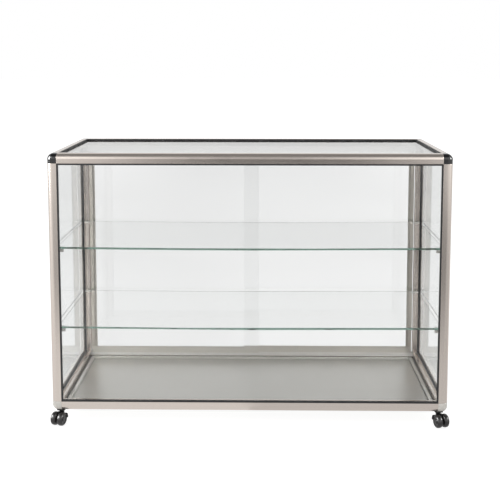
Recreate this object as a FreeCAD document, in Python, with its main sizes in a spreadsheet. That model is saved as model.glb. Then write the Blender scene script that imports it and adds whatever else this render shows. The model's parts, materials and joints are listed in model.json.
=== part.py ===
import FreeCAD, Part
import math
import os
import Sketcher
from FreeCAD import Placement, Rotation, Vector
from types import SimpleNamespace

# Glass display showcase on casters. Millimetres, +Z up, front towards -Y, +X to the right.
# The origin is on the floor under the middle of the case.

X = Vector(1, 0, 0)
Y = Vector(0, 1, 0)
Z = Vector(0, 0, 1)

DIMENSIONS = {
    # Overall size of the frame, and how far the casters lift it
    "width": 1220,
    "depth": 510,
    "frame_height": 800,
    "caster_height": 47,
    # Square frame extrusion, with two glazing slots and two shelf-clip slots
    "profile": 30,
    "edge_radius": 18,
    "lip": 5,
    "slot_width": 10,
    "slot_depth": 9,
    "clip_slot_start": 18,
    "clip_slot_width": 5,
    "clip_slot_depth": 5,
    "bore_start": 7.5,
    "bore_size": 11,
    # Corner connectors
    "tenon_length": 16,
    "tenon_play": 0.2,
    # Fixed glazing and its gaskets
    "pane": 6,
    "pane_sink": 1,
    "pane_bite": 6.6,
    "gasket_bite": 8.6,
    "gasket_play": 0.1,
    "bead": 5,
    "bead_sink": 0.8,
    "inner_bead": 3,
    # Deck panel and its trim strips
    "deck": 4,
    "deck_bite": 8,
    "deck_end_gap": 1,
    "trim_gap": 4.5,
    "trim_width": 12,
    "trim_thickness": 5,
    # Rear sill and door tracks
    "sill_height": 15,
    "sill_edge_radius": 13,
    "sill_bore_start": 4,
    "sill_bore_height": 7,
    "sill_groove_depth": 6,
    "track_width": 24,
    "track_wall": 1.6,
    "track_base": 2,
    "track_setback": 3,
    "bottom_track": 10,
    "top_track": 18,
    # Sliding doors
    "door_pane": 5,
    "door_overlap": 54,
    "door_gap": 4,
    "door_slot": 10,
    "door_head_gap": 2,
    "pane_play": 0.1,
    "pane_end_gap": 0.2,
    "shoe_thickness": 7.8,
    "shoe_height": 27.6,
    "shoe_lift": 1.4,
    "shoe_pocket": 8.6,
    "pull_web": 1.2,
    "pull_leg": 1.3,
    "pull_face": 12,
    "pull_return": 19,
    "pull_lip": 2,
    "roller_radius": 4.15,
    "roller_width": 4,
    "roller_pin": 1.25,
    "roller_inset": 60,
    "roller_room": 1,
    "roller_side_room": 0.5,
    "roller_lift": 0.05,
    # Shelves and their clips
    "shelf": 6,
    "shelf_sag": 3.5,
    "shelf_inset": 18,
    "shelf_front_gap": 3,
    "shelf_rear_gap": 12,
    "upper_shelf": 503,
    "lower_shelf": 253,
    "clip_reach": 41,
    "clip_height": 9,
    "clip_plate": 2.7,
    "clip_tab": 20,
    "clip_tab_thickness": 3,
    "clip_play": 0.4,
    "clip_gap": 0.3,
    # Casters
    "stem_inset": 25,
    "stem_radius": 3.5,
    "stem_length": 9,
    "plate_size": 26,
    "plate_thickness": 3,
    "plate_corner": 4,
    "screw_near": 20.5,
    "screw_far": 33,
    "screw_radius": 1.5,
    "screw_head": 2.8,
    "screw_head_height": 1.6,
    "screw_depth": 4,
    "screw_play": 0.1,
    "wheel_radius": 20.5,
    "wheel_inner": 2.6,
    "wheel_outer": 20,
    "trail": 20,
    "axle_radius": 2.5,
    "axle_half": 16,
    "hood_clearance": 0.8,
    "hood_wall": 2,
    "hood_drop": 9.5,
    "hood_skirt": 2,
    "web_half": 2.2,
    "web_lead": 4,
    "web_skirt": 9,
    "hub_radius": 7,
    "neck_radius": 8,
    "neck_rise": 3,
    "housing_gap": 0.5,
    "end_gap": 0.3,
    "running_play": 0.1,
    # Degrees between each caster's trail and the depth of the case
    "caster_yaw": 17,
}
PAST = 1  # how far a cutting tool reaches past the face that it opens

# Section of a wheel's crowned tread: how far below the full radius, and how far in from the wheel's face
INNER_TREAD = ((4.5, 0), (2, 1.5), (0.6, 4), (0, 7))
OUTER_TREAD = ((0, 6), (0.8, 2.5), (3, 0.6))

# Which side (-1 left, 1 right) and end (-1 front, 1 rear) each upright corner of the case is on
CORNERS = {"front_left": (-1, -1), "front_right": (1, -1), "rear_left": (-1, 1), "rear_right": (1, 1)}


class Size:
    """A length that knows its value in millimetres and its formula in the spreadsheet."""

    def __init__(self, value, formula):
        self.value = float(value)
        self.formula = formula

    def __add__(self, other):
        other = as_size(other)
        return Size(self.value + other.value, f"({self.formula} + {other.formula})")

    def __sub__(self, other):
        other = as_size(other)
        return Size(self.value - other.value, f"({self.formula} - {other.formula})")

    def __mul__(self, other):
        other = as_size(other)
        return Size(self.value * other.value, f"({self.formula} * {other.formula})")

    def __truediv__(self, other):
        other = as_size(other)
        return Size(self.value / other.value, f"({self.formula} / {other.formula})")

    def __neg__(self):
        return as_size(0) - self

    def __radd__(self, other):
        return as_size(other) + self

    def __rmul__(self, other):
        return as_size(other) * self


def as_size(number):
    return number if isinstance(number, Size) else Size(number, str(float(number)))


doc = FreeCAD.newDocument("Showcase")
sheet = doc.addObject("Spreadsheet::Sheet", "Dims")
for row, (alias, number) in enumerate(DIMENSIONS.items(), 1):
    sheet.set(f"A{row}", alias)
    sheet.set(f"B{row}", str(number))
    sheet.setAlias(f"B{row}", alias)
doc.recompute()
d = SimpleNamespace(**{alias: Size(number, f"Dims.{alias}") for alias, number in DIMENSIONS.items()})

# Levels and clear openings that many pieces share
floor_gap = d.caster_height
frame_top = floor_gap + d.frame_height
opening_x = d.width - 2 * d.profile
opening_y = d.depth - 2 * d.profile
opening_z = d.frame_height - 2 * d.profile
post_foot = floor_gap + d.profile
track_front = d.depth / 2 - d.track_setback - d.track_width
groove = (d.track_width - 3 * d.track_wall) / 2
lane_y = {
    "left": track_front + d.track_wall + groove / 2,
    "right": track_front + 2 * d.track_wall + groove * 1.5,
}

nodes = []


def node(obj, label):
    """Registers a finished piece: its label names its STEP file."""
    obj.Label = label
    nodes.append(obj)
    return obj


# ---------------------------------------------------------------- modelling helpers

def bind(obj, **sizes):
    for name, value in sizes.items():
        obj.setExpression(name, as_size(value).formula)


def place(obj, at, rotation=None):
    at = [as_size(value) for value in at]
    obj.Placement = Placement(Vector(*[value.value for value in at]), rotation or Rotation())
    for axis, value in zip("xyz", at):
        obj.setExpression(f"Placement.Base.{axis}", value.formula)
    return obj


def facing(x_direction, y_direction):
    """The rotation that turns the local x and y axes to the given directions."""
    return Rotation(x_direction, y_direction, x_direction.cross(y_direction), "XYZ")


def box(low, high):
    """A Part::Box between two opposite corners."""
    obj = doc.addObject("Part::Box", "Box")
    low = [as_size(value) for value in low]
    high = [as_size(value) for value in high]
    bind(obj, Length=high[0] - low[0], Width=high[1] - low[1], Height=high[2] - low[2])
    return place(obj, low)


def cylinder(radius, height, at, axis=Z):
    obj = doc.addObject("Part::Cylinder", "Cylinder")
    bind(obj, Radius=radius, Height=height)
    return place(obj, at, Rotation(Z, axis))


def fuse(*pieces):
    obj = doc.addObject("Part::MultiFuse", "Fuse")
    obj.Shapes = list(pieces)
    return obj


def common(base, tool):
    obj = doc.addObject("Part::Common", "Common")
    obj.Base = base
    obj.Tool = tool
    return obj


def cut(base, *tools):
    obj = doc.addObject("Part::Cut", "Cut")
    obj.Base = base
    obj.Tool = tools[0] if len(tools) == 1 else fuse(*tools)
    return obj


def group(*pieces):
    obj = doc.addObject("Part::Compound", "Group")
    obj.Links = list(pieces)
    return obj


def new_body():
    return doc.addObject("PartDesign::Body", "Body")


def new_sketch(body, role="XY_Plane", lift=0):
    """A sketch on one of the body's own origin planes, raised along the plane's normal."""
    sketch = body.newObject("Sketcher::SketchObject", "Sketch")
    plane = next(item for item in body.Origin.OriginFeatures if item.Role == role)
    sketch.AttachmentSupport = (plane, [""])
    sketch.MapMode = "FlatFace"
    sketch.setExpression("AttachmentOffset.Base.z", as_size(lift).formula)
    return sketch


def pin_point(sketch, edge, end, point):
    """Ties one end of an edge to its distances from the sketch's origin."""
    for kind, value in zip(("DistanceX", "DistanceY"), point):
        number = sketch.addConstraint(Sketcher.Constraint(kind, -1, 1, edge, end, value.value))
        sketch.setExpression(f"Constraints[{number}]", value.formula)


def set_radius(sketch, edge, radius):
    number = sketch.addConstraint(Sketcher.Constraint("Radius", edge, radius.value))
    sketch.setExpression(f"Constraints[{number}]", radius.formula)


def outline(sketch, points, arcs=None):
    """A closed outline. arcs maps the number of a side to (centre, radius, turns anticlockwise)."""
    arcs = arcs or {}
    points = [(as_size(x), as_size(y)) for x, y in points]
    ends = []
    for side, start in enumerate(points):
        stop = points[(side + 1) % len(points)]
        if side in arcs:
            centre, radius, anticlockwise = arcs[side]
            middle = Vector(as_size(centre[0]).value, as_size(centre[1]).value, 0)
            angles = [math.atan2(y.value - middle.y, x.value - middle.x) for x, y in (start, stop)]
            first, last = angles if anticlockwise else reversed(angles)
            circle = Part.Circle(middle, Z, as_size(radius).value)
            edge = sketch.addGeometry(Part.ArcOfCircle(circle, first, last), False)
            ends.append((edge, 1, 2) if anticlockwise else (edge, 2, 1))
        else:
            line = Part.LineSegment(*[Vector(x.value, y.value, 0) for x, y in (start, stop)])
            ends.append((sketch.addGeometry(line, False), 1, 2))
    for (edge, _, stop_end), (following, next_start, _) in zip(ends, ends[1:] + ends[:1]):
        sketch.addConstraint(Sketcher.Constraint("Coincident", edge, stop_end, following, next_start))
    for (edge, start_end, _), point in zip(ends, points):
        pin_point(sketch, edge, start_end, point)
    for side, (_, radius, _) in arcs.items():
        set_radius(sketch, ends[side][0], as_size(radius))


def rectangle(sketch, low, high):
    outline(sketch, [low, (high[0], low[1]), high, (low[0], high[1])])


def circles(sketch, centres, radius):
    for x, y in centres:
        x, y = as_size(x), as_size(y)
        ring = Part.Circle(Vector(x.value, y.value, 0), Z, as_size(radius).value)
        edge = sketch.addGeometry(ring, False)
        pin_point(sketch, edge, 3, (x, y))
        set_radius(sketch, edge, as_size(radius))


def pad(body, sketch, length):
    feature = body.newObject("PartDesign::Pad", "Pad")
    feature.Profile = sketch
    bind(feature, Length=length)
    body.Tip = feature
    return feature


def block(body, kind, low, high):
    """An additive or subtractive box of a body, between two opposite corners."""
    feature = body.newObject(f"PartDesign::{kind}Box", "Block")
    low = [as_size(value) for value in low]
    high = [as_size(value) for value in high]
    bind(feature, Length=high[0] - low[0], Width=high[1] - low[1], Height=high[2] - low[2])
    place(feature, low)
    body.Tip = feature
    return feature


# ---------------------------------------------------------------- frame

def frame_section(sketch):
    """Section of the frame extrusion: rounded outer edge at the origin, slots on both inner sides."""
    size, start, stop = d.profile, d.lip, d.lip + d.slot_width
    floor = d.profile - d.slot_depth
    clip_start, clip_stop = d.clip_slot_start, d.clip_slot_start + d.clip_slot_width
    clip_floor = d.profile - d.clip_slot_depth
    half = [
        (0, d.edge_radius), (0, size), (start, size), (start, floor), (stop, floor), (stop, size),
        (clip_start, size), (clip_start, clip_floor), (clip_stop, clip_floor), (clip_stop, size),
    ]
    points = half + [(size, size)] + [(y, x) for x, y in reversed(half)]
    centre = (d.edge_radius, d.edge_radius)
    outline(sketch, points, {len(points) - 1: (centre, d.edge_radius, False)})
    bore_end = d.bore_start + d.bore_size
    rectangle(sketch, (d.bore_start, d.bore_start), (bore_end, bore_end))


def sill_section(sketch):
    """Section of the low rear sill: x from the rear face inwards, y up, with a groove for the deck."""
    size, height, radius = d.profile, d.sill_height, d.sill_edge_radius
    groove_floor = size - d.sill_groove_depth
    low, high = d.lip, d.lip + d.deck
    points = [
        (0, radius), (0, height), (size, height), (size, high), (groove_floor, high),
        (groove_floor, low), (size, low), (size, 0), (radius, 0),
    ]
    outline(sketch, points, {len(points) - 1: ((radius, radius), radius, False)})
    bore_low = (d.bore_start, d.sill_bore_start)
    bore_high = (d.bore_start + d.bore_size, d.sill_bore_start + d.sill_bore_height)
    rectangle(sketch, bore_low, bore_high)


def drill_for_plates(body, length):
    """Two screw holes in the underside of a bottom member, one near each end."""
    sketch = new_sketch(body, "XZ_Plane")
    reach = d.screw_far - d.profile
    circles(sketch, [(d.screw_near, reach), (d.screw_near, length - reach)], d.screw_radius)
    doc.recompute()
    before = body.Shape.Volume
    holes = body.newObject("PartDesign::Pocket", "Holes")
    holes.Profile = sketch
    holes.Midplane = True
    bind(holes, Length=2 * d.screw_depth)
    body.Tip = holes
    doc.recompute()
    if not body.Shape.Volume < before:
        raise ValueError("the screw holes cut nothing")


def member(label, section, length, at, x_direction, y_direction, drilled=False):
    body = new_body()
    sketch = new_sketch(body)
    section(sketch)
    pad(body, sketch, length)
    if drilled:
        drill_for_plates(body, length)
    place(body, at, facing(x_direction, y_direction))
    node(body, label)


def make_posts():
    for name, (side, end) in CORNERS.items():
        inward_x, inward_y = X * -side, Y * -end
        directions = (inward_x, inward_y) if side == end else (inward_y, inward_x)
        at = (side * d.width / 2, end * d.depth / 2, post_foot)
        member(f"{name}_post", frame_section, opening_z, at, *directions)


def make_rails():
    end_x, end_y = opening_x / 2, opening_y / 2
    half_x, half_y = d.width / 2, d.depth / 2
    top, bottom = frame_top, floor_gap
    member("front_bottom_rail", frame_section, opening_x, (-end_x, -half_y, bottom), Y, Z, True)
    member("rear_sill", sill_section, opening_x, (end_x, half_y, bottom), -Y, Z, True)
    member("left_bottom_rail", frame_section, opening_y, (-half_x, end_y, bottom), X, Z, True)
    member("right_bottom_rail", frame_section, opening_y, (half_x, -end_y, bottom), -X, Z, True)
    member("front_top_rail", frame_section, opening_x, (end_x, -half_y, top), Y, -Z)
    member("rear_top_rail", frame_section, opening_x, (-end_x, half_y, top), -Y, -Z)
    member("left_top_rail", frame_section, opening_y, (-half_x, -end_y, top), X, -Z)
    member("right_top_rail", frame_section, opening_y, (half_x, end_y, top), -X, -Z)


def edges_at_origin(shape):
    """Names of the edges that meet at the local origin."""
    names = []
    for number, edge in enumerate(shape.Edges, 1):
        if min(vertex.Point.Length for vertex in edge.Vertexes) < 0.01:
            names.append(f"Edge{number}")
    return names


def connector(label, side, end, level, sill_leg=False):
    """Three-way corner block with a tenon for each member and pockets for the panes' corners."""
    size = d.profile
    inward = [X * -side, Y * -end, Z * -level]
    order = (0, 1, 2) if side * end * level < 0 else (1, 0, 2)
    body = new_body()
    cube = block(body, "Additive", (0, 0, 0), (size, size, size))
    doc.recompute()
    fillet = body.newObject("PartDesign::Fillet", "Rounding")
    fillet.Base = (cube, edges_at_origin(cube.Shape))
    bind(fillet, Radius=d.edge_radius)
    body.Tip = fillet
    tenon_low = d.bore_start + d.tenon_play
    tenon_high = d.bore_start + d.bore_size - d.tenon_play
    for local_axis, world_axis in enumerate(order):
        low = [tenon_low] * 3
        high = [tenon_high] * 3
        low[local_axis] = size / 2
        high[local_axis] = size + d.tenon_length
        if sill_leg and world_axis == 0:
            low[2] = d.sill_bore_start + d.tenon_play
            high[2] = d.sill_bore_start + d.sill_bore_height - d.tenon_play
        block(body, "Additive", low, high)
    for local_axis in range(3):
        low = [size - d.slot_depth] * 3
        high = [size + d.tenon_play] * 3
        low[local_axis] = d.lip
        high[local_axis] = d.lip + d.slot_width
        block(body, "Subtractive", low, high)
    height = frame_top if level > 0 else floor_gap
    at = (side * d.width / 2, end * d.depth / 2, height)
    place(body, at, facing(inward[order[0]], inward[order[1]]))
    node(body, label)


def make_connectors():
    for name, (side, end) in CORNERS.items():
        connector(f"{name}_top_corner", side, end, 1)
        connector(f"{name}_bottom_corner", side, end, -1, sill_leg=end > 0)


# ---------------------------------------------------------------- fixed glazing

def glazing(name, opening, at, x_direction, y_direction):
    """A pane and its gasket. Local x and y run along the opening, z from the outer face inwards."""
    wide, tall = opening
    rotation = facing(x_direction, y_direction)
    bite = d.pane_bite
    front = d.lip + d.pane_sink
    pane = doc.addObject("Part::Box", "Pane")
    bind(pane, Length=wide + 2 * bite, Width=tall + 2 * bite, Height=d.pane)
    place(pane, [at[i] + shift for i, shift in enumerate(rotated(rotation, (-bite, -bite, front)))], rotation)
    node(pane, f"{name}_glass")

    body = new_body()
    grip = d.gasket_bite
    slot_front = d.lip + d.gasket_play
    slot_back = d.lip + d.slot_width - d.gasket_play

    def ring(kind, margin, low_z, high_z):
        block(body, kind, (-margin, -margin, low_z), (wide + margin, tall + margin, high_z))

    ring("Additive", grip, slot_front, slot_back)
    ring("Additive", as_size(0), d.bead_sink, slot_back)
    ring("Subtractive", bite, front, front + d.pane)
    ring("Subtractive", -d.bead, d.bead_sink - PAST, front + PAST)
    ring("Subtractive", -d.inner_bead, front + PAST, slot_back + PAST)
    place(body, at, rotation)
    node(body, f"{name}_gasket")


def rotated(rotation, shift):
    """A local shift in world axes, kept as formulas. The rotation only swaps and flips axes."""
    result = []
    for world in (X, Y, Z):
        total = as_size(0)
        for local, amount in zip((X, Y, Z), shift):
            sign = round(rotation.multVec(local).dot(world))
            if sign:
                total = total + sign * as_size(amount)
        result.append(total)
    return result


def make_glazing():
    end_x, end_y = opening_x / 2, opening_y / 2
    half_x, half_y = d.width / 2, d.depth / 2
    head = frame_top - d.profile
    glazing("front", (opening_x, opening_z), (-end_x, -half_y, head), X, -Z)
    glazing("left", (opening_y, opening_z), (-half_x, end_y, head), -Y, -Z)
    glazing("right", (opening_y, opening_z), (half_x, -end_y, head), Y, -Z)
    glazing("top", (opening_x, opening_y), (-end_x, end_y, frame_top), X, -Y)


# ---------------------------------------------------------------- deck

def make_deck():
    low_z = floor_gap + d.lip
    high_z = low_z + d.deck
    edge_x = opening_x / 2 + d.deck_bite
    front = -opening_y / 2 - d.deck_bite
    rear = opening_y / 2 + d.sill_groove_depth - d.deck_end_gap
    node(box((-edge_x, front, low_z), (edge_x, rear, high_z)), "deck_panel")

    outer_x, outer_y = opening_x / 2 - d.trim_gap, opening_y / 2 - d.trim_gap
    inner_x, inner_y = outer_x - d.trim_width, outer_y - d.trim_width
    strip_top = high_z + d.trim_thickness
    strips = [
        box((-outer_x, -outer_y, high_z), (-inner_x, outer_y, strip_top)),
        box((inner_x, -outer_y, high_z), (outer_x, outer_y, strip_top)),
        box((-inner_x, -outer_y, high_z), (inner_x, -inner_y, strip_top)),
        box((-inner_x, inner_y, high_z), (inner_x, outer_y, strip_top)),
    ]
    node(group(*strips), "deck_trim")


# ---------------------------------------------------------------- shelves

def shelf(label, level):
    """A pane that is held at its two ends and sags between them."""
    length = d.width - 2 * d.shelf_inset
    sag = d.shelf_sag
    radius = (length * length / 4 + sag * sag) / (2 * sag)
    body = new_body()
    sketch = new_sketch(body)
    points = [(0, sag), (length, sag), (length, sag + d.shelf), (0, sag + d.shelf)]
    arcs = {
        0: ((length / 2, radius), radius, True),
        2: ((length / 2, radius + d.shelf), radius, False),
    }
    outline(sketch, points, arcs)
    rear = opening_y / 2 - d.shelf_rear_gap
    front = -opening_y / 2 + d.shelf_front_gap
    pad(body, sketch, rear - front)
    place(body, (-length / 2, rear, floor_gap + level - sag), facing(X, Z))
    node(body, f"{label}_shelf")


def corner_box(side, end, low, high):
    """A box given by its distances inwards from the case's outer side and outer end faces."""
    spans = []
    for sign, half, low_in, high_in in zip((side, end), (d.width / 2, d.depth / 2), low, high):
        near, far = half - low_in, half - high_in
        spans.append((far, near) if sign > 0 else (-near, -far))
    return box((spans[0][0], spans[1][0], low[2]), (spans[0][1], spans[1][1], high[2]))


def shelf_clips(label, level):
    """Four brackets: a block in the post's clip slot, a plate on the post, and a tab under the pane."""
    top = floor_gap + level - d.clip_gap
    low = top - d.clip_height
    face = d.profile + d.clip_play
    slot_low = d.clip_slot_start + d.clip_play
    slot_high = d.clip_slot_start + d.clip_slot_width - d.clip_play
    slot_floor = d.profile - d.clip_slot_depth + d.clip_play
    clips = []
    for side in (-1, 1):
        for end in (-1, 1):
            key = corner_box(side, end, (slot_low, slot_floor, low), (slot_high, face, top))
            plate = corner_box(side, end, (slot_low, face, low), (d.clip_reach, face + d.clip_plate, top))
            tab_low = (slot_low, face, top - d.clip_tab_thickness)
            tab = corner_box(side, end, tab_low, (d.clip_reach, face + d.clip_tab, top))
            clips.append(fuse(key, plate, tab))
    node(group(*clips), f"{label}_shelf_clips")


def make_shelves():
    for label, level in (("upper", d.upper_shelf), ("lower", d.lower_shelf)):
        shelf(label, level)
        shelf_clips(label, level)


# ---------------------------------------------------------------- sliding doors

def track(label, tall, z, y_direction):
    """A double channel with three lips. Local y runs from its base towards the doors."""
    wide, wall, base = d.track_width, d.track_wall, d.track_base
    middle = wall + groove
    points = [
        (0, 0), (wide, 0), (wide, tall), (wide - wall, tall), (wide - wall, base),
        (middle + wall, base), (middle + wall, tall), (middle, tall), (middle, base),
        (wall, base), (wall, tall), (0, tall),
    ]
    body = new_body()
    sketch = new_sketch(body)
    outline(sketch, points)
    length = opening_x - 2 * d.tenon_play
    pad(body, sketch, length)
    start = length / 2 if y_direction.z < 0 else -length / 2
    place(body, (start, track_front, z), facing(Y, y_direction))
    node(body, label)


def pull_section(sketch):
    """Edge channel: x from the door's edge over the pane, y from the front face to the rear."""
    thick, leg, web = d.shoe_thickness, d.pull_leg, d.pull_web
    reach, face = d.pull_return, d.pull_face
    points = [
        (0, 0), (face, 0), (face, leg), (web, leg), (web, thick - leg), (reach, thick - leg),
        (reach, thick + d.pull_lip), (reach - leg, thick + d.pull_lip), (reach - leg, thick), (0, thick),
    ]
    outline(sketch, points)


def door(name, side):
    door_width = (opening_x - 2 * d.door_gap + d.door_overlap) / 2
    edge = side * (opening_x / 2 - d.door_gap)
    far = edge - side * door_width
    low_x, high_x = (edge, far) if side < 0 else (far, edge)
    middle = lane_y[name]
    half = d.shoe_thickness / 2
    shoe_low = floor_gap + d.sill_height + d.track_base + d.shoe_lift
    shoe_top = shoe_low + d.shoe_height
    pane_low = shoe_low + d.shoe_pocket
    top_lips = frame_top - d.profile - d.top_track

    # The pane stops inside the edge channel on one side and flush with the shoe on the other
    inset = d.pull_web + d.pane_end_gap
    pane_left, pane_right = (low_x + inset, high_x) if side < 0 else (low_x, high_x - inset)
    half_pane = d.door_pane / 2
    pane_low_corner = (pane_left, middle - half_pane, pane_low)
    pane_high_corner = (pane_right, middle + half_pane, top_lips + d.door_slot)
    node(box(pane_low_corner, pane_high_corner), f"{name}_door_glass")

    rail = box((low_x, middle - half, shoe_low), (high_x, middle + half, shoe_top))
    channel_half = half_pane + d.pane_play
    channel_low = (low_x - PAST, middle - channel_half, pane_low)
    channel_high = (high_x + PAST, middle + channel_half, shoe_top + PAST)
    tools = [box(channel_low, channel_high)]
    axle_z = floor_gap + d.sill_height + d.track_base + d.roller_radius + d.roller_lift
    pocket_half = d.roller_width / 2 + d.roller_side_room
    pocket_reach = d.roller_radius + d.roller_room
    hole_radius = d.roller_pin + d.running_play / 2
    pin_half = half - d.pane_end_gap
    for roller_name, x in (("left", low_x + d.roller_inset), ("right", high_x - d.roller_inset)):
        low = (x - pocket_reach, middle - pocket_half, shoe_low - PAST)
        high = (x + pocket_reach, middle + pocket_half, pane_low - d.roller_room)
        tools.append(box(low, high))
        tools.append(cylinder(hole_radius, 2 * (half + PAST), (x, middle - half - PAST, axle_z), Y))
        wheel = cylinder(d.roller_radius, d.roller_width, (x, middle - d.roller_width / 2, axle_z), Y)
        pin = cylinder(d.roller_pin, 2 * pin_half, (x, middle - pin_half, axle_z), Y)
        node(fuse(wheel, pin), f"{name}_door_{roller_name}_roller")
    node(cut(rail, *tools), f"{name}_door_shoe")

    pull_top = top_lips - d.door_head_gap
    body = new_body()
    sketch = new_sketch(body)
    pull_section(sketch)
    pad(body, sketch, pull_top - shoe_top)
    start_z = shoe_top if side < 0 else pull_top
    place(body, (edge, middle - half, start_z), facing(X * -side, Y))
    node(body, f"{name}_door_pull")


def make_doors():
    track("bottom_track", d.bottom_track, floor_gap + d.sill_height, Z)
    track("top_track", d.top_track, frame_top - d.profile, -Z)
    door("left", -1)
    door("right", 1)


# ---------------------------------------------------------------- casters

def plate_with_stem(side, end):
    near = d.stem_inset - d.plate_size / 2
    far = d.stem_inset + d.plate_size / 2
    under = floor_gap - d.plate_thickness
    slab = corner_box(side, end, (near, near, under), (far, far, floor_gap))
    doc.recompute()
    upright = [
        (number, d.plate_corner.value, d.plate_corner.value)
        for number, edge in enumerate(slab.Shape.Edges, 1)
        if abs(edge.tangentAt(edge.FirstParameter).z) > 0.99
    ]
    plate = doc.addObject("Part::Fillet", "Plate")
    plate.Base = slab
    plate.Edges = upright
    stem_x = side * (d.width / 2 - d.stem_inset)
    stem_y = end * (d.depth / 2 - d.stem_inset)
    stem = cylinder(d.stem_radius, d.stem_length + PAST, (stem_x, stem_y, under - d.stem_length))
    holes = []
    for x, y in screw_places(side, end):
        seat_radius = d.screw_head + d.screw_play
        holes.append(cylinder(seat_radius, d.screw_head_height + PAST, (x, y, under - PAST)))
        holes.append(cylinder(d.screw_radius, d.plate_thickness + 2 * PAST, (x, y, under - PAST)))
    return cut(fuse(plate, stem), *holes)


def screw_places(side, end):
    near, far = d.screw_near, d.screw_far
    return [
        (side * (d.width / 2 - from_side), end * (d.depth / 2 - from_end))
        for from_side, from_end in ((near, far), (far, near))
    ]


def plate_screws(side, end):
    under = floor_gap - d.plate_thickness
    screws = []
    for x, y in screw_places(side, end):
        head = cylinder(d.screw_head, d.screw_head_height, (x, y, under))
        shank = cylinder(d.screw_radius, d.plate_thickness + d.screw_depth, (x, y, under))
        screws.append(fuse(head, shank))
    return screws


def caster_housing():
    """Low hood behind the wheels, web between them and neck round the stem.

    Local origin on the floor under the stem, x along the axle, wheels towards -y.
    """
    axle_y, axle_z = -d.trail, d.wheel_radius
    half = d.wheel_outer
    inner = d.wheel_radius + d.hood_clearance
    outer = inner + d.hood_wall
    back = outer - d.trail
    top = floor_gap - d.plate_thickness - d.housing_gap
    edge = d.web_half

    def drum(radius, reach):
        return cylinder(radius, 2 * reach, (-reach, axle_y, axle_z), X)

    shell = cut(drum(outer, half), drum(inner, half + PAST))
    hood = common(shell, box((-half, axle_y, axle_z - d.hood_skirt), (half, back, top - d.hood_drop)))
    sector = box((-edge, axle_y - d.web_lead, axle_z - d.web_skirt), (edge, back, top))
    web = common(drum(outer - d.hood_wall / 2, edge), sector)
    hub = drum(d.hub_radius, edge)
    neck_low = axle_z + d.neck_rise
    neck = cylinder(d.neck_radius, top - neck_low, (0, 0, neck_low))
    wheel_room = [
        cylinder(inner, half, (edge, axle_y, axle_z), X),
        cylinder(inner, half, (-edge - half, axle_y, axle_z), X),
    ]
    stem_low = floor_gap - d.plate_thickness - d.stem_length - d.end_gap
    stem_room = cylinder(d.stem_radius + d.running_play / 2, d.stem_length + 2 * PAST, (0, 0, stem_low))
    axle_room = drum(d.axle_radius, edge + PAST)
    solid = fuse(hood, web, hub, cut(neck, *wheel_room))
    return cut(solid, stem_room, axle_room)


def wheel(outward):
    """One of the twin wheels, turned about the axle; outward is its direction along the axle."""
    inner, outer, radius = d.wheel_inner, d.wheel_outer, d.wheel_radius
    bore = d.axle_radius + d.running_play
    bore_end = d.axle_half + d.end_gap
    points = [(bore, inner)]
    points += [(radius - below, inner + along) for below, along in INNER_TREAD]
    points += [(radius - below, outer - along) for below, along in OUTER_TREAD]
    points += [(radius / 2, outer), (0, outer), (0, bore_end), (bore, bore_end)]
    body = new_body()
    sketch = new_sketch(body)
    outline(sketch, points)
    feature = body.newObject("PartDesign::Revolution", "Turned")
    feature.Profile = sketch
    feature.ReferenceAxis = (sketch, ["V_Axis"])
    feature.Angle = 360
    body.Tip = feature
    place(body, (0, -d.trail, d.wheel_radius), Rotation(Y, X * outward))
    return body


def make_casters():
    plates = [plate_with_stem(side, end) for side, end in CORNERS.values()]
    screws = [screw for side, end in CORNERS.values() for screw in plate_screws(side, end)]
    node(group(*plates), "caster_plates")
    node(group(*screws), "plate_screws")
    for name, (side, end) in CORNERS.items():
        yaw = side * d.caster_yaw.value if end < 0 else 180 - side * d.caster_yaw.value
        turn = Rotation(Z, yaw)
        foot = (side * (d.width / 2 - d.stem_inset), end * (d.depth / 2 - d.stem_inset), 0)
        axle = cylinder(d.axle_radius, 2 * d.axle_half, (-d.axle_half, -d.trail, d.wheel_radius), X)
        pieces = {
            f"{name}_caster_housing": caster_housing(),
            f"{name}_caster_axle": group(axle),
            f"{name}_caster_wheels": group(wheel(1), wheel(-1)),
        }
        for label, piece in pieces.items():
            node(place(piece, foot, turn), label)


# ---------------------------------------------------------------- build, check and write

def check(obj):
    bad = [state for state in obj.State if state in ("Invalid", "Error")]
    if bad:
        raise ValueError(f"{obj.Label} ({obj.Name}): {bad}")


def write_nodes():
    doc.recompute()
    for obj in doc.Objects:
        check(obj)
    os.makedirs("parts", exist_ok=True)
    for obj in nodes:
        if obj.Shape.isNull() or not obj.Shape.isValid():
            raise ValueError(f"{obj.Label} has no valid shape")
    for obj in nodes:
        obj.Shape.exportStep(f"parts/{obj.Label}.step")
        bounds = obj.Shape.BoundBox
        print(f"{obj.Label:32s} {len(obj.Shape.Solids):3d} solids {obj.Shape.Volume / 1000:10.2f} cm3 "
              f"z {bounds.ZMin:7.1f} to {bounds.ZMax:7.1f}")
    print(len(nodes), "nodes")


make_posts()
make_rails()
make_connectors()
make_glazing()
make_deck()
make_shelves()
make_doors()
make_casters()
write_nodes()
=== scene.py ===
import json
import math

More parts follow.
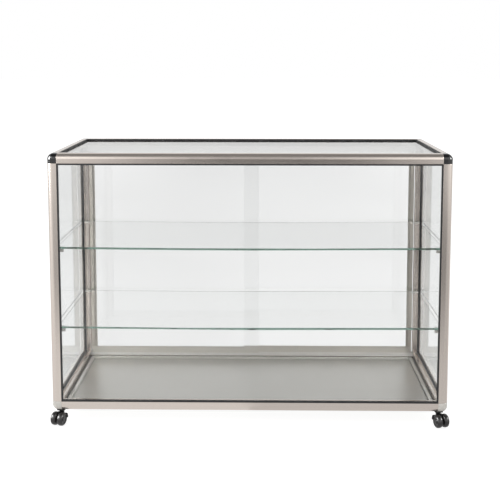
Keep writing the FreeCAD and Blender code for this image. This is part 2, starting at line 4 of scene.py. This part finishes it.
import bmesh
import bpy
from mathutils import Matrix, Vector


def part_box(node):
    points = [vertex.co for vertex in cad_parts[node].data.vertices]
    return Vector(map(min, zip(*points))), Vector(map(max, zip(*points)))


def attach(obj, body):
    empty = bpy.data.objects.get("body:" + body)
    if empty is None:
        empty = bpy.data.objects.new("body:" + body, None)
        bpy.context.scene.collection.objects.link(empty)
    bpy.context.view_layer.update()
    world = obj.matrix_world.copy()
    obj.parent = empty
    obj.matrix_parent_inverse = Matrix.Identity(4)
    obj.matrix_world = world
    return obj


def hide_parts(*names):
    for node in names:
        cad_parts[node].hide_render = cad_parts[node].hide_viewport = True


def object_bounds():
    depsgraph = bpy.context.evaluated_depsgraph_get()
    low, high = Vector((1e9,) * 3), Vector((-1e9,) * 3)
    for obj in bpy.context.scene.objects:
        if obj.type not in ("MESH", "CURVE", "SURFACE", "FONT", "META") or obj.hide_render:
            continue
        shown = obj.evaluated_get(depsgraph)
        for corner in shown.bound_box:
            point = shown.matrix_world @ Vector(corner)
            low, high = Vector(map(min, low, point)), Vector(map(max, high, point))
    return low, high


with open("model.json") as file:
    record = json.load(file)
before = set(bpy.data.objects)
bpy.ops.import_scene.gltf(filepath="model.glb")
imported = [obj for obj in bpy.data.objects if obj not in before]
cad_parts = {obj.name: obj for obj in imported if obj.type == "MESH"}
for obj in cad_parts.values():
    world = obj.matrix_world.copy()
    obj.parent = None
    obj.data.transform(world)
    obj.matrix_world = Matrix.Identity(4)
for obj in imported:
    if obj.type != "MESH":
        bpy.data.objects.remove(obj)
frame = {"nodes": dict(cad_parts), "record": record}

CAD_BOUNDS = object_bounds()
RECORD = frame["record"]
SLOT_OF = {row["node"]: row["material_slot"] for row in RECORD["subparts"]}
BODY_OF = {node: body for body, nodes in RECORD["behaviour"]["bodies"].items() for node in nodes}
JOINTS = {joint["name"]: joint for joint in RECORD["behaviour"]["joints"]}
CORNERS = ("front_left", "front_right", "rear_left", "rear_right")
CASE_LOW, CASE_HIGH = CAD_BOUNDS

MERGE = 1e-6  # metres within which two vertices are one


class Nodes:
    """A node tree whose sockets are fed with a number or from another node."""

    def __init__(self, tree):
        self.tree = tree

    def feed(self, socket, value):
        if isinstance(value, bpy.types.NodeSocket):
            self.tree.links.new(value, socket)
        else:
            socket.default_value = value


# ---------------------------------------------------------------- materials

class Recipe(Nodes):
    """A node material: a Principled shader whose constants sit on its own sockets, plus textures."""

    def __init__(self, name, **constants):
        self.material = bpy.data.materials.new(name)
        self.material.use_nodes = True
        super().__init__(self.material.node_tree)
        self.shader = self.tree.nodes["Principled BSDF"]
        for key, value in constants.items():
            self.shader.inputs[key.replace("_", " ")].default_value = value
        self.place = self.add("ShaderNodeTexCoord").outputs["Object"]

    def add(self, kind, **inputs):
        made = self.tree.nodes.new(kind)
        for key, value in inputs.items():
            self.feed(made.inputs[key.replace("_", " ")], value)
        return made

    def noise(self, scale, detail=2.0, stretch=(1, 1, 1)):
        """Noise with about scale features a metre, drawn out along the axes with a small stretch."""
        mapping = self.add("ShaderNodeMapping", Vector=self.place)
        mapping.inputs["Scale"].default_value = stretch
        made = self.add("ShaderNodeTexNoise", Vector=mapping.outputs["Vector"], Scale=scale, Detail=detail)
        return made.outputs["Fac"]

    def span(self, value, low, high):
        """Spreads noise, which keeps near its middle, over low to high."""
        made = self.add("ShaderNodeMapRange", Value=value, From_Min=0.3, From_Max=0.7)
        self.feed(made.inputs["To Min"], low)
        self.feed(made.inputs["To Max"], high)
        return made.outputs["Result"]

    def blend(self, factor, first, second):
        made = self.tree.nodes.new("ShaderNodeMix")
        made.data_type = "RGBA"
        self.feed(made.inputs["Factor"], factor)
        self.feed(made.inputs[6], (*first, 1))
        self.feed(made.inputs[7], (*second, 1))
        return made.outputs[2]

    def bump(self, height, distance, strength=1.0):
        made = self.add("ShaderNodeBump", Height=height, Distance=distance, Strength=strength)
        self.tree.links.new(made.outputs["Normal"], self.shader.inputs["Normal"])

    def set(self, **inputs):
        for key, value in inputs.items():
            self.feed(self.shader.inputs[key.replace("_", " ")], value)


def shade(color, amount):
    return tuple(channel * amount for channel in color)


LINE_STRETCH = 0.004  # width of a drawn line over its length


def drawn_metal(name, color, roughness, axis, contrast=0.02, lines=2200.0, metallic=1.0):
    """Extruded or brushed metal: fine lines along one axis over a faint cloudiness.

    Metallic below 1 stands for the dull share of an anodised skin.
    """
    made = Recipe(name, Metallic=metallic)
    along = [1.0, 1.0, 1.0]
    along["xyz".index(axis)] = LINE_STRETCH
    fine = made.noise(lines, 2.0, along)
    coarse = made.noise(lines / 5, 2.0, along)
    cloud = made.noise(14.0, 3.0)
    tone = made.span(coarse, 0.0, 1.0)
    made.set(Base_Color=made.blend(tone, shade(color, 1 - contrast), shade(color, 1 + contrast)))
    worn = made.tree.nodes.new("ShaderNodeMath")
    worn.operation = "ADD"
    made.feed(worn.inputs[0], made.span(cloud, roughness - 0.012, roughness + 0.012))
    made.feed(worn.inputs[1], made.span(fine, -0.02, 0.02))
    made.set(Roughness=worn.outputs[0])
    made.bump(fine, 0.000002, 0.5)
    return made.material


def moulded_plastic(name, color, roughness, coat=0.0, level=0.5):
    """Moulded plastic: even colour, a fine grain, and faint scuffs that dull it in places."""
    made = Recipe(name, IOR=1.5, Specular_IOR_Level=level, Coat_Weight=coat)
    made.set(Coat_Roughness=0.06, Coat_IOR=1.6)
    cloud = made.noise(120.0, 3.0)
    made.set(Base_Color=made.blend(made.span(cloud, 0.0, 1.0), shade(color, 0.9), shade(color, 1.15)))
    made.set(Roughness=made.span(made.noise(300.0, 4.0), roughness - 0.04, roughness + 0.06))
    made.bump(made.noise(2500.0, 2.0), 0.00002)
    return made.material


def rubber():
    made = Recipe("gasket_rubber", IOR=1.5, Specular_IOR_Level=0.35)
    dust = made.noise(40.0, 5.0)
    made.set(Base_Color=made.blend(made.span(dust, 0.0, 1.0), (0.012, 0.012, 0.013), (0.024, 0.024, 0.025)))
    made.set(Roughness=made.span(made.noise(500.0, 3.0), 0.45, 0.62))
    made.bump(made.noise(1800.0, 2.0), 0.00003)
    return made.material


def clear_glass():
    """Float glass: clear through its thickness, dark green along its width, with a faint float wave."""
    made = Recipe("float_glass", IOR=1.5, Roughness=0.0, Transmission_Weight=1.0)
    made.shader.inputs["Base Color"].default_value = (0.992, 0.989, 0.990, 1)
    made.bump(made.noise(5.0, 1.0), 0.0004, 0.05)
    absorb = made.add("ShaderNodeVolumeAbsorption")
    absorb.inputs["Color"].default_value = (0.0, 0.33, 0.2, 1)
    absorb.inputs["Density"].default_value = 3.3
    output = made.tree.nodes["Material Output"]
    made.tree.links.new(absorb.outputs["Volume"], output.inputs["Volume"])
    return made.material


CHAMPAGNE = (0.64, 0.575, 0.525)
# Painted light: a paler copy of the door metal for its lying pieces low at the back, where little light
# reaches
PAINTED_LIGHT_CHAMPAGNE = (0.84, 0.80, 0.73)
MID_CHAMPAGNE = (0.74, 0.69, 0.62)
DECK_SILVER = (0.55, 0.54, 0.51)
TRIM_SILVER = (0.78, 0.76, 0.71)


def make_materials():
    """Every material by name: its colour, its roughness and, for metal, the axis that its lines follow."""
    return {
        "frame_metal_x": drawn_metal("frame_metal_x", CHAMPAGNE, 0.20, "x", metallic=0.86),
        "frame_metal_y": drawn_metal("frame_metal_y", CHAMPAGNE, 0.20, "y", metallic=0.86),
        "frame_metal_z": drawn_metal("frame_metal_z", CHAMPAGNE, 0.20, "z", metallic=0.86),
        "corner_black": moulded_plastic("corner_black", (0.006, 0.006, 0.0065), 0.09, coat=0.15),
        "corner_silver": moulded_plastic("corner_silver", (0.47, 0.452, 0.42), 0.34, coat=0.1),
        "glass": clear_glass(),
        "gasket": rubber(),
        "deck_metal": drawn_metal("deck_metal", DECK_SILVER, 0.34, "x", contrast=0.015, lines=1400.0),
        "trim_metal": drawn_metal("trim_metal", TRIM_SILVER, 0.34, "x", metallic=0.5),
        "clip_metal": drawn_metal("clip_metal", (0.92, 0.91, 0.88), 0.30, "x", metallic=0.1),
        # Track near white and mostly dull: its own pale tone, brightened as painted light because little
        # light reaches the case's floor
        "track_metal": drawn_metal("track_metal", (0.97, 0.94, 0.90), 0.34, "x", metallic=0.12),
        # The door's lying pieces get a paler, duller colour than its upright ones: the same metal, with
        # painted light
        "door_metal_x": drawn_metal("door_metal_x", PAINTED_LIGHT_CHAMPAGNE, 0.34, "x", metallic=0.3),
        "door_metal_z": drawn_metal("door_metal_z", MID_CHAMPAGNE, 0.32, "z", metallic=0.6),
        "roller_plastic": moulded_plastic("roller_plastic", (0.75, 0.75, 0.72), 0.4),
        "plate_metal": moulded_plastic("plate_metal", (0.02, 0.02, 0.02), 0.4),
        "steel": drawn_metal("steel", (0.58, 0.58, 0.59), 0.25, "z", contrast=0.03),
        "caster_plastic": moulded_plastic("caster_plastic", (0.004, 0.004, 0.004), 0.3, coat=0.05, level=0.3),
        "wheel_plastic": moulded_plastic("wheel_plastic", (0.010, 0.0085, 0.0085), 0.32, coat=0.1, level=0.5),
    }


def material_for(node):
    """The material of a node; drawn metals run along the piece's longest side."""
    name = SLOT_OF[node]
    if name in ("frame_metal", "door_metal"):
        low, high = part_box(node)
        sizes = [b - a for a, b in zip(low, high)]
        # For door metal the axis also picks the colour: lying pieces get the paler copy, which is painted
        # light
        name += "_" + "xyz"[sizes.index(max(sizes))]
    return MATERIALS[name]


# ---------------------------------------------------------------- pieces

def give(piece, node):
    """Makes a new piece stand for a CAD node: it rides the node's body, and the node is hidden."""
    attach(piece, BODY_OF[node])
    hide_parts(node)


def add_piece(name, bm, material, smooth_angle=40.0):
    mesh = bpy.data.meshes.new(name)
    bmesh.ops.recalc_face_normals(bm, faces=bm.faces)
    bm.to_mesh(mesh)
    bm.free()
    mesh.polygons.foreach_set("use_smooth", [True] * len(mesh.polygons))
    mesh.set_sharp_from_angle(angle=math.radians(smooth_angle))
    mesh.materials.append(material)
    piece = bpy.data.objects.new(name, mesh)
    bpy.context.scene.collection.objects.link(piece)
    return piece


# How far the sharp edges of a slot's pieces are rounded, in metres
EDGE_WIDTHS = {
    "frame_metal": 0.0006, "corner_black": 0.0006, "corner_silver": 0.0006, "glass": 0.0008,
    "deck_metal": 0.0005, "trim_metal": 0.0007, "clip_metal": 0.0005, "track_metal": 0.0004,
    "door_metal": 0.0004, "plate_metal": 0.0006, "caster_plastic": 0.0008, "gasket": 0.0003,
}
FLAT_ANGLE = math.radians(0.5)  # faces this close to level with each other are one face
SHARP_ANGLE = 0.6  # radians between two faces that meet in a sharp edge


def softened(node, width):
    """Replaces a CAD node by a copy whose sharp edges are rounded to width, as real stock has them."""
    bm = bmesh.new()
    bm.from_mesh(frame["nodes"][node].data)
    bmesh.ops.remove_doubles(bm, verts=bm.verts, dist=MERGE)
    bmesh.ops.dissolve_limit(bm, angle_limit=FLAT_ANGLE, verts=bm.verts, edges=bm.edges)
    sharp = [edge for edge in bm.edges if len(edge.link_faces) == 2 and edge.calc_face_angle() > SHARP_ANGLE]
    bmesh.ops.bevel(bm, geom=sharp, offset=width, segments=2, profile=0.5, affect="EDGES", clamp_overlap=True)
    piece = add_piece(f"{node}_piece", bm, material_for(node))
    weighted = piece.modifiers.new("even_normals", "WEIGHTED_NORMAL")
    weighted.keep_sharp = True
    give(piece, node)


def make_softened_pieces():
    for node, slot in SLOT_OF.items():
        if slot in EDGE_WIDTHS:
            softened(node, EDGE_WIDTHS[slot])


def lathe(bm, joint, profile, steps=64):
    """Turns a closed profile of (along the axis, radius) points about a joint's axis."""
    axis = Vector(JOINTS[joint]["axis"]).normalized()
    across = axis.cross(Vector((0, 0, 1))).normalized()
    upright = across.cross(axis)
    centre = Vector(JOINTS[joint]["pos_m"])
    rings = []
    for step in range(steps):
        turn = 2 * math.pi * step / steps
        spoke = across * math.cos(turn) + upright * math.sin(turn)
        rings.append([bm.verts.new(centre + axis * along + spoke * radius) for along, radius in profile])
    for ring, following in zip(rings, rings[1:] + rings[:1]):
        for i in range(len(profile)):
            j = (i + 1) % len(profile)
            bm.faces.new((ring[i], ring[j], following[j], following[i]))


# One twin wheel in metres: its faces along the axle from the caster's middle, and its bore
WHEEL_INNER, WHEEL_OUTER, WHEEL_BORE = 0.0026, 0.0200, 0.0026
INNER_FALL, OUTER_FALL = 0.0042, 0.0022  # how far the tread falls to its inner and outer edge
CROWN_STEPS = 12
DISH = 0.0028  # depth of the ring between rim and boss
CAP = 0.0036  # depth of the boss's closed end


def wheel_profile(radius, side):
    """Half section of one twin wheel: tread that drops to the middle, rim bead and dished outer face."""
    inner, outer, bore = WHEEL_INNER, WHEEL_OUTER, WHEEL_BORE
    tread = [(inner, bore), (inner, radius - 0.0052), (inner + 0.0003, radius - 0.0045)]
    for step in range(CROWN_STEPS + 1):
        turn = math.pi * step / CROWN_STEPS
        fall = INNER_FALL if step < CROWN_STEPS / 2 else OUTER_FALL
        tread.append((
            inner + 0.0006 + (outer - inner - 0.0030) * (1 - math.cos(turn)) / 2,
            radius - fall + fall * math.sin(turn) ** 0.8,
        ))
    rim = [
        (outer - 0.0016, radius - 0.0032), (outer - 0.0006, radius - 0.0040), (outer, radius - 0.0052),
        (outer - 0.0004, radius - 0.0060), (outer - 0.0022, radius - 0.0066), (outer - DISH, radius - 0.0076),
    ]
    boss = [
        (outer - DISH, 0.0082), (outer - 0.0022, 0.0074), (outer - 0.0004, 0.0070), (outer, 0.0062),
        (outer, 0.0046), (outer - 0.0006, 0.0034), (outer - 0.0008, 0.0), (outer - CAP, 0.0),
        (outer - CAP, bore),
    ]
    return [(side * along, reach) for along, reach in tread + rim + boss]


def make_wheels():
    for corner in CORNERS:
        node = f"{corner}_caster_wheels"
        low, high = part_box(node)
        radius = (high[2] - low[2]) / 2
        bm = bmesh.new()
        for side in (-1, 1):
            lathe(bm, f"{corner}_wheels_spin", wheel_profile(radius, side))
        bmesh.ops.remove_doubles(bm, verts=bm.verts, dist=MERGE)
        give(add_piece(f"{node}_piece", bm, material_for(node), 35.0), node)


def bare_materials():
    """Gives every CAD node its material, for the nodes that stay in view."""
    for node, obj in frame["nodes"].items():
        obj.data.materials.clear()
        obj.data.materials.append(material_for(node))


# ---------------------------------------------------------------- studio

class Studio(Nodes):
    """Maths nodes that set the studio's level by direction and by kind of ray.

    A level of 1 is plain white. Rays that come off metal or gloss see a surround that is dark in front
    and overhead and bright to the sides, and rays through glass see a slightly dimmer one.
    """

    def __init__(self, tree):
        super().__init__(tree)
        self.path = tree.nodes.new("ShaderNodeLightPath")

    def calc(self, operation, *values):
        made = self.tree.nodes.new("ShaderNodeMath")
        made.operation = operation
        for socket, value in zip(made.inputs, values):
            self.feed(socket, value)
        return made.outputs[0]

    def ramp(self, value, start, stop, low, high):
        """Goes smoothly from low to high as value goes from start to stop."""
        made = self.tree.nodes.new("ShaderNodeMapRange")
        made.interpolation_type = "SMOOTHSTEP"
        names = ("Value", "From Min", "From Max", "To Min", "To Max")
        for name, number in zip(names, (value, start, stop, low, high)):
            self.feed(made.inputs[name], number)
        return made.outputs["Result"]

    def split(self, vector):
        made = self.tree.nodes.new("ShaderNodeSeparateXYZ")
        self.feed(made.inputs[0], vector)
        return made.outputs

    def mirrored(self):
        """1 for a ray that has come off metal or gloss, 0 for one seen directly or off a dull surface."""
        glossy = self.calc("MINIMUM", self.path.outputs["Glossy Depth"], 1.0)
        return self.calc("MULTIPLY", glossy, self.calc("SUBTRACT", 1.0, self.path.outputs["Is Diffuse Ray"]))

    def through(self):
        """1 for a ray that has come through glass and off nothing."""
        passed = self.calc("MINIMUM", self.path.outputs["Transmission Depth"], 1.0)
        return self.calc("MULTIPLY", passed, self.calc("SUBTRACT", 1.0, self.path.outputs["Is Diffuse Ray"]))

    def behind(self, across):
        """Level of what stands behind the glass: a little dimmer to the left."""
        return self.ramp(across, -0.22, 0.12, 0.93, 1.0)

    def side(self, across, left, right):
        """One level at the left and another at the right."""
        return self.ramp(across, -0.3, 0.3, left, right)

    def low_front(self, across):
        """In front, near the horizon: almost black in the middle, white from a third of the way out."""
        aside = self.calc("ABSOLUTE", self.calc("SUBTRACT", across, 0.02))
        return self.ramp(aside, 0.08, 0.34, 0.02, 1.15)

    def high_front(self, across):
        """In front, above the horizon: dim in the middle, a bright panel at each side."""
        aside = self.calc("ABSOLUTE", self.calc("SUBTRACT", across, -0.01))
        return self.ramp(aside, 0.03, 0.26, 0.30, 1.9)


CEILING = 0.17  # level overhead, in reflections


def make_world():
    """White all round when seen directly, and shaped in reflections.

    across, depth and up are the parts of a ray's direction: to the right, to the rear and upwards.
    """
    world = bpy.data.worlds.new("studio")
    bpy.context.scene.world = world
    world.use_nodes = True
    world.cycles.sampling_method = "NONE"
    studio = Studio(world.node_tree)
    coords = world.node_tree.nodes.new("ShaderNodeTexCoord")
    across, depth, up = studio.split(coords.outputs["Generated"])
    front = studio.ramp(up, 0.03, 0.20, studio.low_front(across), studio.high_front(across))
    aside = studio.calc("ABSOLUTE", across)
    front = studio.ramp(aside, 0.72, 0.92, front, studio.side(across, 1.5, 0.75))
    back = studio.ramp(up, 0.10, 0.35, 0.83, 0.95)
    back = studio.ramp(aside, 0.55, 0.9, back, 0.42)
    level = studio.ramp(depth, 0.05, 0.35, front, back)
    level = studio.ramp(up, 0.62, 0.86, level, CEILING)
    plain = studio.ramp(studio.through(), 0.0, 1.0, 1.0, studio.behind(across))
    level = studio.ramp(studio.mirrored(), 0.0, 1.0, plain, level)
    background = world.node_tree.nodes["Background"]
    background.inputs["Color"].default_value = (1, 1, 1, 1)
    studio.feed(background.inputs["Strength"], level)


FLOOR_RADIUS = 40.0
TABLE_GLOW = 0.84  # level of the floor's own light


def make_floor():
    """A pale floor, lit from within like a light table, so that only contact shadows show.

    Its level in reflections goes by place: far is the distance from the middle of the case's front,
    and turned is the sine of the angle to the left or right from there.
    """
    bm = bmesh.new()
    bmesh.ops.create_circle(bm, cap_ends=True, radius=FLOOR_RADIUS, segments=64)
    made = Recipe("floor_pale", Roughness=0.9, Specular_IOR_Level=0.0)
    made.set(Base_Color=made.blend(made.noise(2.0), (0.34, 0.34, 0.34), (0.35, 0.35, 0.35)))
    studio = Studio(made.tree)
    across, depth, _ = studio.split(made.place)
    ahead = studio.calc("SUBTRACT", depth, CASE_LOW.y)
    far = studio.calc("SQRT", studio.calc(
        "ADD", studio.calc("MULTIPLY", across, across), studio.calc("MULTIPLY", ahead, ahead)
    ))
    turned = studio.calc("DIVIDE", across, far)
    near = studio.ramp(turned, -0.25, 0.25, 0.92, 0.70)
    middle = studio.ramp(turned, -0.25, 0.20, 0.40, 0.18)
    middle = studio.ramp(studio.calc("ABSOLUTE", turned), 0.5, 0.85, middle, studio.side(turned, 0.95, 0.55))
    front = studio.ramp(far, 0.3, 2.4, near, middle)
    front = studio.ramp(far, 3.0, 7.0, front, studio.low_front(turned))
    back = studio.ramp(far, 0.8, 6.0, 0.92, 0.75)
    level = studio.ramp(ahead, -0.1, 0.6, front, back)
    mirror = made.add("ShaderNodeEmission", Strength=level)
    table = made.add("ShaderNodeEmission", Strength=TABLE_GLOW)
    glow = made.tree.nodes.new("ShaderNodeAddShader")
    made.tree.links.new(made.shader.outputs[0], glow.inputs[0])
    made.tree.links.new(table.outputs[0], glow.inputs[1])
    behind = made.add("ShaderNodeEmission", Strength=studio.behind(turned))
    lit = made.add("ShaderNodeMixShader", Fac=studio.through())
    made.tree.links.new(glow.outputs[0], lit.inputs[1])
    made.tree.links.new(behind.outputs[0], lit.inputs[2])
    both = made.add("ShaderNodeMixShader", Fac=studio.mirrored())
    made.tree.links.new(lit.outputs[0], both.inputs[1])
    made.tree.links.new(mirror.outputs[0], both.inputs[2])
    made.tree.links.new(both.outputs[0], made.tree.nodes["Material Output"].inputs["Surface"])
    made.material.cycles.emission_sampling = "NONE"
    floor = add_piece("floor", bm, made.material)


# Where each lamp stands, what it faces, its width and height, its power in watts, and whether it lights
# dull surfaces too or shows in gloss only
LAMPS = {
    "key": ((-3.0, -2.6, 3.0), (0, 0, 0.5), 2.4, 1.6, 40, True),
    "left_strip": ((-2.6, -0.7, 1.40), (-0.6, -0.25, 1.35), 1.1, 1.5, 150, False),
    "right_strip": ((2.6, -0.6, 1.4), (0.6, -0.25, 1.35), 0.6, 0.9, 50, False),
}


def softbox(name, at, towards, width, height, power, lights_dull):
    """A soft rectangular lamp, hidden from the camera and from rays through glass."""
    data = bpy.data.lights.new(name, "AREA")
    data.shape = "RECTANGLE"
    data.size, data.size_y = width, height
    data.energy = power
    lamp = bpy.data.objects.new(name, data)
    lamp.location = at
    lamp.rotation_euler = (Vector(towards) - Vector(at)).to_track_quat("-Z", "Y").to_euler()
    lamp.visible_diffuse = lights_dull
    lamp.visible_camera = False
    lamp.visible_transmission = False
    bpy.context.scene.collection.objects.link(lamp)


CAMERA_ACROSS, CAMERA_DEPTH, CAMERA_OVER_CASE = 0.0422, -2.9276, 0.2946
CAMERA_PITCH, CAMERA_YAW = math.radians(6.04), math.radians(0.86)
SENSOR_WIDTH, LENS, SHIFT = 36.0, 64.83, -0.20


def make_camera():
    """Stands to the right of the middle and looks slightly left and down."""
    data = bpy.data.cameras.new("camera")
    data.sensor_width = SENSOR_WIDTH
    data.lens = LENS
    data.shift_y = SHIFT
    camera = bpy.data.objects.new("camera", data)
    camera.location = (CAMERA_ACROSS, CAMERA_DEPTH, CASE_HIGH.z + CAMERA_OVER_CASE)
    camera.rotation_euler = (math.radians(90) - CAMERA_PITCH, 0, CAMERA_YAW)
    bpy.context.scene.collection.objects.link(camera)
    bpy.context.scene.camera = camera


GLASS_BOUNCES = 32  # light runs along a pane by reflection inside it, and a pane's edge needs many


def make_studio():
    make_world()
    make_floor()
    make_camera()
    for name, lamp in LAMPS.items():
        softbox(name, *lamp)
    scene = bpy.context.scene
    scene.view_settings.view_transform = "Standard"
    scene.cycles.max_bounces = 40
    scene.cycles.transmission_bounces = GLASS_BOUNCES
    scene.cycles.glossy_bounces = GLASS_BOUNCES
    scene.cycles.diffuse_bounces = 4
    scene.cycles.transparent_max_bounces = 16
    scene.cycles.use_denoising = True


MATERIALS = make_materials()
bare_materials()
make_softened_pieces()
make_wheels()
make_studio()
